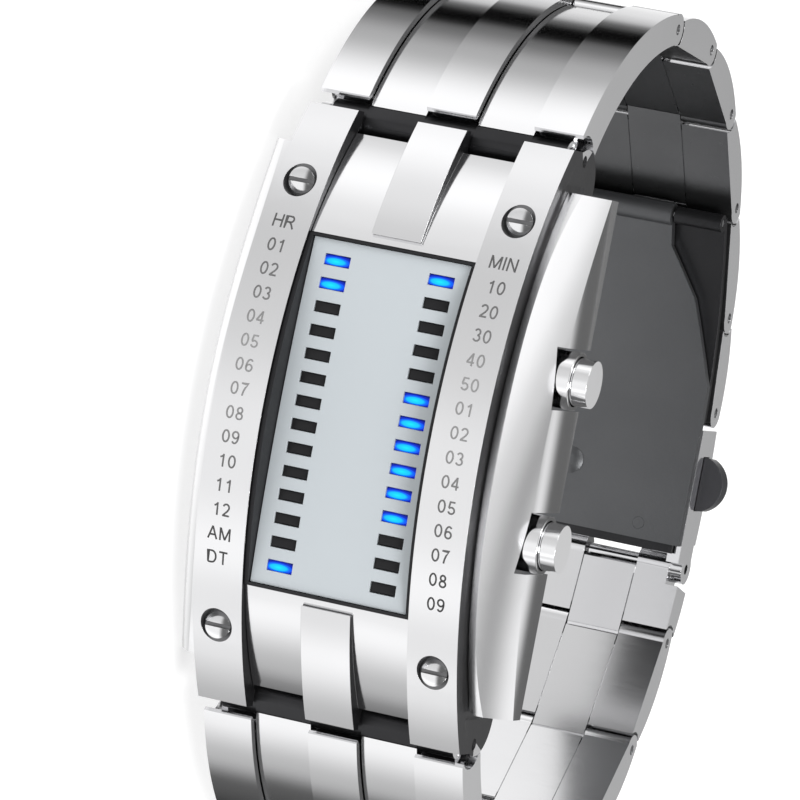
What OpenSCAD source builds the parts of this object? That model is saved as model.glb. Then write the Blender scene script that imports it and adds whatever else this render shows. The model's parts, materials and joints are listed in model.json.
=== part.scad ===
// LED bracelet watch, lying on its left side guard.
// Each piece is drawn in the watch's own axes: X to 3 o'clock, Y to 12 o'clock,
// Z out of the face, with Z = 0 at the top of the curved side rails.

/* [Case] */
// Width of the case over both rails
case_w = 25.16; // [24.6:0.02:27]
// Length of the two side rails, end to end
case_len = 54; // [53.4:0.1:56]
// Radius of the arc that the rails follow
arc_r = 41.7; // [40:0.1:46]
// Depth of the case from the top of the arc to its back
case_depth = 15.5; // [15.2:0.1:17]
// Width of one side rail
rail_w = 4.7; // [4.2:0.05:5]
// Thickness of a side rail
rail_t = 1.8; // [1.4:0.1:2.2]
// Thickness of the case's side walls
wall = 1.28; // [1.1:0.02:1.5]
// Thickness of the case back
back_t = 1.4; // [1:0.1:1.6]

/* [Display] */
// Half length of the display plate
plate_half = 15.5; // [15:0.1:16]
// Depth of the display plate below the top of the arc
plate_drop = 2.86; // [2.5:0.02:3.2]
// Radius that the display plate is curved to
plate_r = 143; // [120:1:200]
// Thickness of the display plate
plate_t = 0.8; // [0.6:0.05:1]
// Distance from one light window to the next
led_pitch = 2.1; // [1.9:0.02:2.15]
// Light windows in one column
led_count = 14; // [8:1:14]
// Distance of a window column from the middle
led_x = 4.9; // [4.2:0.1:5.4]
// Length of a light window
window_w = 2.4; // [1.8:0.1:2.8]
// Height of a light window
window_h = 1; // [0.7:0.05:1.3]

/* [Guards and pushers] */
// Distance of a guard's outer face from the middle
guard_out = 16; // [15.6:0.1:17]
// Half length of a guard
guard_half = 23.3; // [21:0.1:23.6]
// Place of the upper pusher towards 12 o'clock
pusher_top_y = 7.2; // [6.5:0.1:9]
// Place of the lower pusher towards 6 o'clock
pusher_bottom_y = 7.4; // [6.5:0.1:9]
// Depth of the pushers' axis below the top of the arc
pusher_drop = 9.6; // [9.2:0.1:10]
// Radius of a pusher's cap
cap_r = 2.13; // [1.9:0.01:2.3]
// Length of a pusher's cap
cap_len = 2.4; // [1.8:0.1:3]
// How far a pusher can be pressed
pusher_travel = 0.8; // [0.4:0.05:0.85]

/* [Bracelet] */
// Distance from one hinge pin to the next
pitch = 11.65; // [11:0.05:12.4]
// Full pitch links between an end link and the clasp, on each side
link_count = 4; // [4:1:4]
// Pin distance of the curved end links
end_chord = 24.4; // [23.6:0.1:25.2]
// Radius that the end links' pins lie on
end_arc_r = 28.5; // [26:0.5:34]
// Pin distance of the last link before the clasp
clasp_link = 9.55; // [9.2:0.05:10.2]
// Pin distance of the clasp's catch
catch_len = 15.65; // [15:0.05:17]
// Pin distance of the short link after the catch
short_link = 7.54; // [7:0.02:8.4]
// Height of the raised columns above the pins
raised_top = 2; // [1.8:0.05:2.4]
// Height of the sunk columns above the pins
sunk_top = 1; // [0.8:0.05:1.2]
// Depth of the links' inner face below the pins
link_in = 1.4; // [1.3:0.05:1.6]
// Half width of the middle column
mid_half = 2.35; // [1.8:0.05:2.8]
// Radius of the hinge pins
pin_r = 0.5; // [0.4:0.02:0.6]
// Share of the way round that the bracelet bends less at the middle of the clasp
bend_power = 1.335; // [1.2:0.005:1.5]
// Shift of the flattest place along the bracelet
bend_shift = -0.02; // [-0.04:0.01:0.02]

/* [Hidden] */
$fn = 64;

// Clearance between pieces that move past each other
gap = 0.3;
// Clearance between pieces that are fitted together
seam = 0.05;
// Cut past a face
over = 1;
half_w = case_w / 2;
rail_in = half_w - rail_w;
plate_x = rail_in - 0.4;
column_gap = 0.1;
lug_y = case_len / 2 - 0.8;
lug_z = -13.4;
lug_r = 3.4;
// Middle of a lug's round end, from its hole
lug_round_in = 2.3;
lug_round_down = 0.6;
lug_round_y = lug_y - lug_round_in;
lug_round_z = lug_z - lug_round_down;
barrel_r = 1.6;
// Room round the barrel, which the end link's raised columns also stay out of
room_r = barrel_r + 0.5;
knuckle_r = 1.5;
bar_r = 0.75;
// Thin pins of the blades' fold and the screws' shafts
fold_pin_r = 0.35;
shaft_r = 0.6;
back_shaft_r = 0.5;
end_in = 1.65;
end_taper = 0.6;
crown_r = 16;
sunk_knuckle_r = 1.3;
link_half = half_w - 0.08;
inner_half = half_w - wall - 0.1;
back_z = -case_depth;
// Height of the case back's face above what the watch rests on, before it is laid down
rest_drop = 10;
// Movement cavity, its lip for the back and the back's screws
cavity_half = 10;
cavity_y = 18;
lip_x = 1;
lip_y = 2.6;
back_screw_x = cavity_half - 2;
back_screw_y = cavity_y + lip_y / 2;
// Holder, boards and cell
holder_t = 1;
holder_h = 4.6;
board_t = 0.8;
board_top = back_z + back_t + board_t + 4.2;
diode_z = -6.4;
battery_r = cavity_half - 2.2;
battery_t = 1.9;
battery_x = battery_r - cavity_half + holder_t + seam;
battery_y = -4;
clip_w = 3;
clip_t = 0.3;
battery_z = board_top - board_t - battery_t - 0.4;
chip_y = cavity_y - 7.4;
pusher_z = -pusher_drop;
notch_x = half_w + 1;
// Guards: depth of their inner edge below the arc, and the cone of their slope, by its
// tip's place inwards and upwards, its axis' turn and its rise
guard_in = 2;
slope_x = 17.26;
slope_z = 25.94;
slope_turn = 218.2;
slope_rise = 2.25;
// Collars: radius, depth of their floor and height of their rim
collar_r = cap_r + 0.47;
collar_len = 1.6;
rim_len = 1.8;
notch_half = collar_r + 0.15;
cap_in = notch_x + collar_len + pusher_travel + 0.1;
stem_r = 0.8;
tube_r = 1.9;
neck_r = 1.5;
spring_x = 11;
screw_x = half_w - 2.26;
screw_y = case_len / 2 - 7;
screw_r = 1.2;
screw_slot = 0.36;
screw_head = 0.9;

// Sunk end covers
cover_drop = 6.4;
cover_r = arc_r - cover_drop;
cover_t = 1;
cover_in = plate_half + 0.3;

steel = [0.78, 0.79, 0.8];
dark_steel = [0.3, 0.31, 0.32];
black = [0.06, 0.06, 0.07];

// Height of an arc of radius r, centred below the face, at distance y
function arc_z(r, y) = -arc_r + sqrt(r * r - y * y);
function total(list, n) = n <= 0 ? 0 : list[n - 1] + total(list, n - 1);

// Pin distances all the way round, from the upper lug to the lower lug
full_links = [for (i = [1:link_count]) pitch];
spans = concat([end_chord], full_links, [clasp_link, catch_len, short_link],
               full_links, [end_chord]);
joint_count = len(spans);
round_len = total(spans, joint_count);
// Place of a link's middle along the bracelet, from -1 to 1
function place_of(i) = 2 * (total(spans, i) + spans[i] / 2) / round_len - 1 - bend_shift;
function open_heading(i, bend) =
  180 + bend * sign(place_of(i)) * pow(abs(place_of(i)), bend_power);
function sum_cos(bend, n) = n <= 0 ? 0 :
  spans[n - 1] * cos(open_heading(n - 1, bend)) + sum_cos(bend, n - 1);
function sum_sin(bend, n) = n <= 0 ? 0 :
  spans[n - 1] * sin(open_heading(n - 1, bend)) + sum_sin(bend, n - 1);
function reach(bend) = norm([sum_cos(bend, joint_count), sum_sin(bend, joint_count)]);
// Bend at which the loop's ends are as far apart as the lugs
function solve_bend(low, high, tries) =
  tries == 0 ? (low + high) / 2 :
  reach((low + high) / 2) > 2 * lug_y ?
    solve_bend((low + high) / 2, high, tries - 1) :
    solve_bend(low, (low + high) / 2, tries - 1);
bend = solve_bend(110, 200, 40);
turn = 180 - atan2(sum_sin(bend, joint_count), sum_cos(bend, joint_count));
turn_back = turn > 180 ? turn - 360 : turn;
function heading(i) = open_heading(i, bend) + turn_back;
function joint_y(i) = i == 0 ? lug_y : joint_y(i - 1) + spans[i - 1] * cos(heading(i - 1));
function joint_z(i) = i == 0 ? lug_z : joint_z(i - 1) - spans[i - 1] * sin(heading(i - 1));

upper_last = link_count + 1;
catch_i = link_count + 2;
short_i = link_count + 3;

// Circle through the last three joints of the upper side, which the blades follow
ya = joint_y(upper_last - 1);
za = joint_z(upper_last - 1);
yb = joint_y(upper_last);
zb = joint_z(upper_last);
yc = joint_y(catch_i);
zc = joint_z(catch_i);
det = 2 * (ya * (zb - zc) + yb * (zc - za) + yc * (za - zb));
sa = ya * ya + za * za;
sb = yb * yb + zb * zb;
sc = yc * yc + zc * zc;
blade_y = (sa * (zb - zc) + sb * (zc - za) + sc * (za - zb)) / det;
blade_z = (sa * (yc - yb) + sb * (ya - yc) + sc * (yb - ya)) / det;
blade_r = norm([ya - blade_y, za - blade_z]);
blade_pin_in = 3.3;
outer_in = 2.15;
outer_t = 0.7;
inner_in = 3.1;
inner_t = 0.9;
fold_y = ya + (blade_y - ya) * blade_pin_in / blade_r;
fold_z = za + (blade_z - za) * blade_pin_in / blade_r;
fold_r = 1.1;
fold_half = 7.3;
fold_angle = atan2(za - blade_z, ya - blade_y);
bar_angle = atan2(zc - blade_z, yc - blade_y);
// Turn of the blades' arc for one millimetre along it
step_angle = 180 / PI / blade_r;
// Release buttons' place along the catch, and the rivets between catch and inner blade
button_s = 7.1;
button_half = 2.6;
rivet_r = 0.58;
tie_x = 8;
tie_s = catch_len - 3.8;
rivet_places = [[0, button_s], [-tie_x, tie_s], [tie_x, tie_s]];
// The inner blade ends before the spring bar, so that the short link swings past it
blade_end = catch_len - 2.3;

// Turns a side view, Y across and Z up, into a slab of width w about the middle
module slab(w, from = 0) {
  rotate([90, 0, 90]) translate([0, 0, from]) linear_extrude(w, center = from == 0) children();
}
// Pin along X
module rod(r, half) {
  rotate([0, 90, 0]) cylinder(r = r, h = 2 * half, center = true);
}
// Puts a drawing whose x runs from joint i to the next, with y outwards, in place
module at_joint(i) {
  translate([0, joint_y(i), joint_z(i)]) rotate([-heading(i), 0, 0]) children();
}
// The same for the lower side, whose links are drawn from the case outwards
module at_lower(i) {
  translate([0, joint_y(i + 1), joint_z(i + 1)]) rotate([-heading(i), 0, 0])
    mirror([0, 1, 0]) children();
}
// Lays the watch on its left guard, with 12 o'clock to -X
module lie() {
  rotate([90, -90, 0]) translate([guard_out, 0, rest_drop]) children();
}

// Outline of the case from the side, up to an arc of the given radius
module case_side(r) {
  intersection() {
    translate([0, -arc_r]) circle(r = r, $fn = 180);
    union() {
      translate([-case_len / 2, lug_round_z]) square([case_len, 20]);
      translate([-lug_round_y, back_z]) square([2 * lug_round_y, 20]);
      for (s = [-1, 1]) translate([s * lug_round_y, lug_round_z]) circle(r = lug_r);
    }
  }
}
// Room for the barrel of an end link between the lugs
module barrel_room() {
  for (s = [-1, 1]) {
    translate([s * lug_y, lug_z]) circle(r = room_r);
    translate([s > 0 ? lug_y - room_r : -lug_y - 4, lug_z - 8])
      square([4 + room_r, 8]);
  }
}
module pocket_side() {
  intersection() {
    translate([0, -arc_r]) circle(r = arc_r - 1.2, $fn = 180);
    translate([-guard_half - 0.6, back_z + 0.8]) square([2 * guard_half + 1.2, 20]);
  }
}
module case_middle() {
  color(steel) lie() difference() {
    slab(2 * half_w) case_side(arc_r - rail_t);
    slab(2 * (half_w - wall)) barrel_room();
    // End covers and display opening
    slab(2 * rail_in) difference() {
      translate([0, -arc_r]) circle(r = arc_r, $fn = 180);
      translate([0, -cover_r]) circle(r = cover_r - cover_t, $fn = 180);
    }
    translate([-rail_in, -cover_in, -7]) cube([2 * rail_in, 2 * cover_in, 10]);
    // Movement cavity, open at the back
    translate([-cavity_half, -cavity_y, back_z - over])
      cube([2 * cavity_half, 2 * cavity_y, case_depth - 6]);
    // Seat of the case back
    translate([-cavity_half - lip_x, -cavity_y - lip_y, back_z - over])
      cube([2 * (cavity_half + lip_x), 2 * (cavity_y + lip_y), back_t + over]);
    for (s = [-1, 1]) {
      // Pockets for the guards
      slab(wall, s > 0 ? half_w - 0.4 : -half_w + 0.4 - wall) pocket_side();
      translate([0, s * lug_y, lug_z]) rod(pin_r + seam, half_w + over);
      for (t = [-1, 1]) {
        translate([s * screw_x, t * screw_y, -30]) cylinder(r = shaft_r, h = 30);
        translate([s * back_screw_x, t * back_screw_y, back_z - over])
          cylinder(r = back_shaft_r, h = back_t + 3 + over);
      }
    }
    for (y = [pusher_top_y, -pusher_bottom_y])
      translate([cavity_half - over, y, pusher_z]) rotate([0, 90, 0])
        cylinder(r = tube_r, h = wall + 6);
  }
}
// Side rail with its engraved face left plain
module rail(s) {
  color(steel) lie() difference() {
    slab(rail_w, s > 0 ? rail_in : -half_w) intersection() {
      difference() {
        translate([0, -arc_r]) circle(r = arc_r, $fn = 180);
        translate([0, -arc_r]) circle(r = arc_r - rail_t, $fn = 180);
      }
      translate([-case_len / 2, -20]) square([case_len, 40]);
    }
    slab(2 * (half_w - wall)) barrel_room();
    for (t = [-1, 1]) translate([s * screw_x, t * screw_y, -30]) {
      cylinder(r = shaft_r, h = 40);
      translate([0, 0, 30 + arc_z(arc_r, screw_y) - screw_head]) cylinder(r = screw_r + gap, h = 10);
    }
  }
}
module rail_left() { rail(-1); }
module rail_right() { rail(1); }
module rail_screws() {
  color(steel) lie() for (s = [-1, 1], t = [-1, 1])
    translate([s * screw_x, t * screw_y, arc_z(arc_r, screw_y) - screw_head]) difference() {
      union() {
        intersection() {
          cylinder(r = screw_r, h = 1);
          translate([0, 0, -1.4]) sphere(r = 2.3);
        }
        translate([0, 0, -4.5]) cylinder(r = shaft_r - seam, h = 4.6);
      }
      translate([-2, -screw_slot / 2, screw_head / 2]) cube([4, screw_slot, 1]);
    }
}
// Sunk cover between a rail pair, with its raised middle bar, at 12 o'clock
module end_cover() {
  color(steel) lie() difference() {
    union() {
      slab(2 * (rail_in - seam)) intersection() {
        difference() {
          translate([0, -cover_r]) circle(r = cover_r, $fn = 180);
          translate([0, -cover_r]) circle(r = cover_r - cover_t, $fn = 180);
        }
        translate([cover_in, -20]) square([case_len / 2 - 2 - cover_in, 20]);
      }
      slab(2 * mid_half) intersection() {
        difference() {
          translate([0, -arc_r]) circle(r = arc_r - 0.3, $fn = 180);
          translate([0, -cover_r]) circle(r = cover_r - cover_t, $fn = 180);
        }
        translate([cover_in + 0.8, -20]) square([case_len / 2 - cover_in - 0.8, 20]);
      }
    }
    slab(2 * half_w) barrel_room();
    // Slope of the middle bar down to the display
    translate([0, cover_in + 0.8, arc_z(arc_r, cover_in) - 0.2]) rotate([-50, 0, 0])
      translate([-mid_half - over, -6, 0]) cube([2 * mid_half + 2 * over, 6, 4]);
  }
}
module end_cover_top() { end_cover(); }
module end_cover_bottom() { mirror([1, 0, 0]) end_cover(); }

// Black liner of the display opening
module display_frame() {
  color(black) lie() difference() {
    slab(2 * (rail_in - seam)) intersection() {
      translate([0, -arc_r]) circle(r = arc_r - 0.35, $fn = 180);
      translate([-plate_half - 0.25, -7]) square([2 * plate_half + 0.5, 8]);
    }
    slab(2 * plate_x) translate([-plate_half, -20]) square([2 * plate_half, 30]);
  }
}
module curved_sheet(drop, t, half_y, half_x) {
  slab(2 * half_x) intersection() {
    difference() {
      translate([0, -drop - plate_r]) circle(r = plate_r, $fn = 360);
      translate([0, -drop - plate_r]) circle(r = plate_r - t, $fn = 360);
    }
    translate([-half_y, -20]) square([2 * half_y, 20]);
  }
}
function row_y(i) = ((led_count - 1) / 2 - i) * led_pitch;
module display_plate() {
  color([0.79, 0.81, 0.83]) lie() difference() {
    curved_sheet(plate_drop, plate_t, plate_half - seam, plate_x - seam);
    for (s = [-1, 1], i = [0:led_count - 1])
      translate([s * led_x - window_w / 2, row_y(i) - window_h / 2, -8])
        cube([window_w, window_h, 8]);
  }
}
module light_guide() {
  color([0.1, 0.1, 0.11]) lie() curved_sheet(plate_drop + plate_t + seam, 0.6, plate_half - seam, plate_x - seam);
}
module diode_board() {
  color([0.05, 0.25, 0.12]) lie() translate([-plate_x + seam, -plate_half + seam, diode_z - 1])
    cube([2 * (plate_x - seam), 2 * (plate_half - seam), 0.8]);
}
module light_diodes() {
  color([0.2, 0.5, 0.9]) lie() for (s = [-1, 1], i = [0:led_count - 1])
    translate([s * led_x - 0.8, row_y(i) - 0.4, diode_z - 0.2]) cube([1.6, 0.8, 0.8]);
}
module module_holder() {
  color(black) lie() difference() {
    translate([-cavity_half + seam, -cavity_y + seam, back_z + back_t + 0.8])
      cube([2 * (cavity_half - seam), 2 * (cavity_y - seam), holder_h]);
    translate([-cavity_half + holder_t, -cavity_y + holder_t, back_z - over])
      cube([2 * (cavity_half - holder_t), 2 * (cavity_y - holder_t), 20]);
    for (y = [pusher_top_y, -pusher_bottom_y])
      translate([cavity_half - 3, y - 2.2, back_z + 2]) cube([6, 4.4, 20]);
  }
}
module main_board() {
  color([0.05, 0.25, 0.12]) lie() {
    translate([-cavity_half + holder_t + seam, -cavity_y + holder_t + seam, board_top - board_t])
      cube([2 * (cavity_half - holder_t - seam) - 2.5, 2 * (cavity_y - holder_t - seam), board_t]);
    translate([-3, chip_y, board_top - board_t - 1.1]) cube([6, 5, 1.2]);
  }
}
module battery() {
  color(steel) lie() translate([battery_x, battery_y, battery_z])
    cylinder(r = battery_r, h = battery_t);
}
module battery_clip() {
  color([0.8, 0.7, 0.3]) lie()
    translate([battery_x - clip_w / 2, battery_y, battery_z - clip_t - seam]) {
      translate([0, -battery_r - 1, 0]) cube([clip_w, 2 * battery_r + 2, clip_t]);
      for (s = [-1, 1]) translate([0, s * (battery_r + 0.7) - clip_t, 0])
        cube([clip_w, 2 * clip_t, board_top - board_t - battery_z + clip_t + seam]);
    }
}
module case_back() {
  color(dark_steel) lie() difference() {
    translate([-cavity_half - lip_x + seam, -cavity_y - lip_y + seam, back_z])
      cube([2 * (cavity_half + lip_x - seam), 2 * (cavity_y + lip_y - seam), back_t - seam]);
    for (s = [-1, 1], t = [-1, 1])
      translate([s * back_screw_x, t * back_screw_y, back_z - over]) {
        cylinder(r = back_shaft_r + seam, h = 10);
        cylinder(r = 1.05, h = over + 0.6);
      }
  }
}
module back_gasket() {
  color(black) lie() difference() {
    translate([-cavity_half + 0.1, -cavity_y + 0.1, back_z + back_t])
      cube([2 * (cavity_half - 0.1), 2 * (cavity_y - 0.1), 0.7]);
    translate([-cavity_half + 0.9, -cavity_y + 0.9, back_z])
      cube([2 * (cavity_half - 0.9), 2 * (cavity_y - 0.9), 9]);
  }
}
module back_screws() {
  color(steel) lie() for (s = [-1, 1], t = [-1, 1])
    translate([s * back_screw_x, t * back_screw_y, back_z + seam]) difference() {
      union() {
        cylinder(r = 1, h = 0.5);
        cylinder(r = back_shaft_r - 0.02, h = back_t + 2.4);
      }
      translate([-1.2, -0.12, -over]) cube([2.4, 0.24, over + 0.25]);
    }
}
// Side guard. Its slope is a wide cone, so its outer edge bends less than its inner one
module guard(s, notched) {
  color(steel) lie() difference() {
    intersection() {
      translate([0, 0, -arc_r]) rotate([0, s * 90, 0]) rotate_extrude($fn = 180) polygon([
        [15, half_w - 0.35], [15, guard_out], [arc_r - guard_in, guard_out],
        [arc_r - guard_in, half_w + 0.65], [arc_r - guard_in - 1.6, half_w + 0.5],
        [arc_r - guard_in - 1.6, half_w - 0.35]
      ]);
      translate([s * (guard_out - slope_x), 0, slope_z]) rotate([0, s * slope_turn, 0])
        cylinder(r1 = 0, r2 = 30 * slope_rise, h = 30, $fn = 180);
      translate([-2 * guard_out, -guard_half, back_z + 1]) cube([4 * guard_out, 2 * guard_half, 20]);
    }
    if (notched) for (y = [pusher_top_y, -pusher_bottom_y]) {
      translate([notch_x, y - notch_half, pusher_z - 10]) cube([9, 2 * notch_half, 10 + notch_half]);
      translate([half_w - over, y, pusher_z]) rotate([0, 90, 0]) cylinder(r = tube_r, h = 3);
    }
  }
}
module guard_left() { guard(-1, false); }
module guard_right() { guard(1, true); }
// Turned tube that a pusher slides in, with its collar
module pusher_tubes() {
  color(steel) lie() for (y = [pusher_top_y, -pusher_bottom_y])
    translate([0, y, pusher_z]) rotate([0, 90, 0]) difference() {
      union() {
        translate([0, 0, spring_x - 1]) cylinder(r = tube_r - 0.02, h = notch_x - spring_x + 1.5);
        translate([0, 0, notch_x + 0.05]) cylinder(r = collar_r, h = collar_len + rim_len - 0.05);
      }
      translate([0, 0, notch_x + collar_len]) cylinder(r = cap_r + 2 * seam, h = 20);
      translate([0, 0, spring_x]) cylinder(r = neck_r + seam, h = 20);
      cylinder(r = stem_r + seam, h = 20);
    }
}
module pusher(y) {
  color(steel) lie() translate([0, y, pusher_z]) rotate([0, 90, 0]) {
    translate([0, 0, cap_in]) cylinder(r = cap_r, h = cap_len);
    translate([0, 0, notch_x + 0.4]) cylinder(r = neck_r, h = cap_in - notch_x - 0.4);
    translate([0, 0, spring_x - 1.8]) cylinder(r = stem_r, h = cap_in - spring_x + 1.8);
    translate([0, 0, spring_x - 1.75]) cylinder(r = 1.25, h = 0.6);
  }
}
module pusher_top() { pusher(pusher_top_y); }
module pusher_bottom() { pusher(-pusher_bottom_y); }
// Sleeve in the space of a small coil spring, along Z
module spring_sleeve(in_r, out_r, height) {
  difference() {
    cylinder(r = out_r, h = height);
    translate([0, 0, -over]) cylinder(r = in_r, h = height + 2 * over);
  }
}
module pusher_spring(y) {
  color(steel) lie() translate([spring_x + seam, y, pusher_z]) rotate([0, 90, 0])
    spring_sleeve(0.95, 1.4, notch_x + 0.4 - spring_x - 2 * seam);
}
module pusher_spring_top() { pusher_spring(pusher_top_y); }
module pusher_spring_bottom() { pusher_spring(-pusher_bottom_y); }
// Sprung bar with thinner tips that end inside the lugs' holes
module spring_bar(y) {
  translate([0, y, lug_z]) {
    rod(bar_r, inner_half - gap);
    rod(pin_r, half_w - 0.7);
  }
}
module lug_bar_top() { color(steel) lie() spring_bar(lug_y); }
module lug_bar_bottom() { color(steel) lie() spring_bar(-lug_y); }

// Side outline of a link's raised columns, which hold the pin at its far end
module raised_side(len) {
  difference() {
    intersection() {
      union() {
        translate([0, -link_in]) square([len, link_in + raised_top]);
        translate([len, 0]) circle(r = knuckle_r);
      }
      translate([len / 2 + 1, raised_top - crown_r]) circle(r = crown_r, $fn = 180);
    }
    circle(r = knuckle_r + gap);
  }
}
// Side outline of its sunk columns, which turn on the pin at its near end
module sunk_side(len) {
  difference() {
    union() {
      translate([0, -link_in]) square([len, link_in + sunk_top]);
      circle(r = sunk_knuckle_r);
    }
    translate([len, 0]) circle(r = sunk_knuckle_r + gap);
  }
}
// The middle column and the two outer ones
module raised_columns() {
  slab(2 * mid_half) children();
  for (s = [-1, 1]) slab(link_half - rail_in, s > 0 ? rail_in : -link_half) children();
}
module sunk_columns() {
  sunk_w = rail_in - mid_half - 2 * column_gap;
  for (s = [-1, 1])
    slab(sunk_w, s > 0 ? mid_half + column_gap : -rail_in + column_gap) children();
}
module plain_link(len) {
  difference() {
    union() {
      raised_columns() raised_side(len);
      sunk_columns() sunk_side(len);
      slab(2 * link_half - 0.4) translate([knuckle_r + gap + 0.15, 0.2 - link_in])
        square([len - knuckle_r - sunk_knuckle_r - 2 * gap - 0.3, link_in + 0.4]);
    }
    rod(pin_r + seam, rail_in + over);
    translate([0, len, 0]) rod(pin_r, half_w + over);
  }
}
// Curved end link, whose near end is a barrel between the lugs. Its columns are arcs that
// lean towards the case, and the sunk ones run into the barrel
module end_side(top, lean, from = 0) {
  centre = -sqrt(end_arc_r * end_arc_r - end_chord * end_chord / 4);
  intersection() {
    difference() {
      translate([end_chord / 2 - lean, centre]) circle(r = end_arc_r + top, $fn = 180);
      translate([end_chord / 2 + end_taper, centre]) circle(r = end_arc_r - end_in, $fn = 180);
    }
    translate([from, -end_chord / 4]) square([end_chord - from, end_chord / 2]);
  }
}
module end_link(turn_down) {
  // Place of the lug's round from the pin, along and across the link
  lug_s = -lug_round_in * cos(turn_down) + lug_round_down * sin(turn_down);
  lug_v = -lug_round_in * sin(turn_down) - lug_round_down * cos(turn_down);
  difference() {
    union() {
      difference() {
        raised_columns() union() {
          end_side(raised_top, 1.2);
          translate([end_chord, 0]) circle(r = knuckle_r);
        }
        slab(2 * half_w + over) circle(r = room_r + 0.2);
        for (s = [-1, 1]) slab(2, s > 0 ? inner_half : -inner_half - 2)
          translate([lug_s, lug_v]) circle(r = lug_r + gap);
      }
      difference() {
        sunk_columns() {
          end_side(sunk_top + 0.2, 1);
          intersection() {
            end_side(sunk_top + 0.2, 1, -barrel_r);
            circle(r = barrel_r + 0.1);
          }
        }
        slab(2 * half_w) translate([end_chord, 0]) circle(r = sunk_knuckle_r + gap);
      }
      slab(2 * inner_half - 0.4) intersection() {
        end_side(0.5, 0);
        square([end_chord - sunk_knuckle_r - gap - 0.8, end_chord]);
      }
      rod(barrel_r, inner_half);
    }
    rod(bar_r + seam, half_w + over);
    translate([0, end_chord, 0]) rod(pin_r, half_w + over);
  }
}
module hinge_pin(len) {
  translate([0, len, 0]) rod(pin_r, link_half - 0.1);
}
module end_link_top() { color(steel) lie() at_joint(0) end_link(heading(0)); }
module end_link_bottom() {
  color(steel) lie() at_lower(joint_count - 1) end_link(360 - heading(joint_count - 1));
}
module link_top(i) { color(steel) lie() at_joint(i) plain_link(pitch); }
module link_top_1() { link_top(1); }
module link_top_2() { link_top(2); }
module link_top_3() { link_top(3); }
module link_top_4() { link_top(4); }
module clasp_link() { color(steel) lie() at_joint(upper_last) plain_link(clasp_link); }
module pin_top(i, len) { color(steel) lie() at_joint(i) hinge_pin(len); }
module pin_top_1() { pin_top(0, end_chord); }
module pin_top_2() { pin_top(1, pitch); }
module pin_top_3() { pin_top(2, pitch); }
module pin_top_4() { pin_top(3, pitch); }
module pin_top_5() { pin_top(4, pitch); }
module clasp_bar() { pin_top(upper_last, clasp_link); }
module link_bottom(i) { color(steel) lie() at_lower(joint_count - 1 - i) plain_link(pitch); }
module link_bottom_1() { link_bottom(1); }
module link_bottom_2() { link_bottom(2); }
module link_bottom_3() { link_bottom(3); }
module link_bottom_4() { link_bottom(4); }
module pin_bottom(i, len) { color(steel) lie() at_lower(joint_count - 1 - i) hinge_pin(len); }
module pin_bottom_1() { pin_bottom(0, end_chord); }
module pin_bottom_2() { pin_bottom(1, pitch); }
module pin_bottom_3() { pin_bottom(2, pitch); }
module pin_bottom_4() { pin_bottom(3, pitch); }
module pin_bottom_5() { pin_bottom(4, pitch); }
// Short link, whose tongue takes the catch's spring bar
module short_link() {
  color(steel) lie() at_lower(short_i) difference() {
    plain_link(short_link);
    // Its sides end before the catch's cheeks, which swing out past them
    for (s = [-1, 1]) slab(2, s > 0 ? inner_half : -inner_half - 2)
      translate([short_link - knuckle_r - 0.5, -2 * link_in]) square([4, 4 * link_in]);
    translate([0, short_link, 0]) rod(bar_r + 0.02, inner_half - 0.2);
  }
}
module catch_spring_bar() {
  color(steel) lie() at_lower(short_i) translate([0, short_link, 0]) {
    rod(bar_r, inner_half - gap);
    rod(pin_r - 0.02, inner_half - seam);
  }
}

// Ring that runs along the inside of the closed bracelet, from one bearing to the other
module blade_arc(depth, t, from, to) {
  intersection() {
    translate([blade_y, blade_z]) difference() {
      circle(r = blade_r - depth, $fn = 360);
      circle(r = blade_r - depth - t, $fn = 360);
    }
    translate([blade_y, blade_z]) polygon([
      [0, 0], 2 * blade_r * [cos(from), sin(from)],
      2 * blade_r * [cos((from + to) / 2), sin((from + to) / 2)],
      2 * blade_r * [cos(to), sin(to)]
    ]);
  }
}
module outer_blade() {
  color(dark_steel) lie() difference() {
    union() {
      difference() {
        slab(2 * link_half - 0.4) blade_arc(outer_in, outer_t, bar_angle - step_angle, fold_angle);
        slab(2 * fold_half + 0.4) translate([fold_y, fold_z]) circle(r = fold_r + gap);
      }
      for (s = [-1, 1]) slab(link_half - fold_half - 0.4, s > 0 ? fold_half + 0.2 : -link_half + 0.2)
        translate([fold_y, fold_z]) circle(r = 0.85);
      at_joint(catch_i) sunk_columns() {
        circle(r = sunk_knuckle_r);
        translate([-0.4, -outer_in - outer_t / 2]) square([1.4, outer_in]);
      }
    }
    at_joint(catch_i) rod(pin_r + seam, half_w);
    translate([0, fold_y, fold_z]) rod(fold_pin_r + seam, half_w);
  }
}
module blade_pin() {
  color(steel) lie() translate([0, fold_y, fold_z]) rod(fold_pin_r, link_half - 0.25);
}
module inner_blade() {
  color(dark_steel) lie() difference() {
    union() {
      intersection() {
        slab(2 * link_half - 0.2) union() {
          blade_arc(inner_in, inner_t, bar_angle - step_angle, fold_angle);
          translate([joint_y(catch_i), joint_z(catch_i)]) rotate(-heading(catch_i))
            translate([0, -inner_in - inner_t]) square([blade_end, inner_t]);
        }
        for (s = [0, 1]) mirror([s, 0, 0]) translate([0, 0, joint_z(catch_i) - 10])
          linear_extrude(60) polygon([
            [-over, fold_y + 3], [fold_half, fold_y + 3], [fold_half, fold_y - 3],
            [10, yb + 1.3], [link_half - 0.5, (yb + yc) / 2 - 1], [link_half + over, yc - 1],
            [link_half + over, yc - catch_len - 5], [-over, yc - catch_len - 5]
          ]);
      }
      slab(2 * fold_half - 0.1) translate([fold_y, fold_z]) circle(r = fold_r);
    }
    translate([0, fold_y, fold_z]) rod(fold_pin_r + seam, half_w);
    catch_holes();
  }
}
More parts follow.
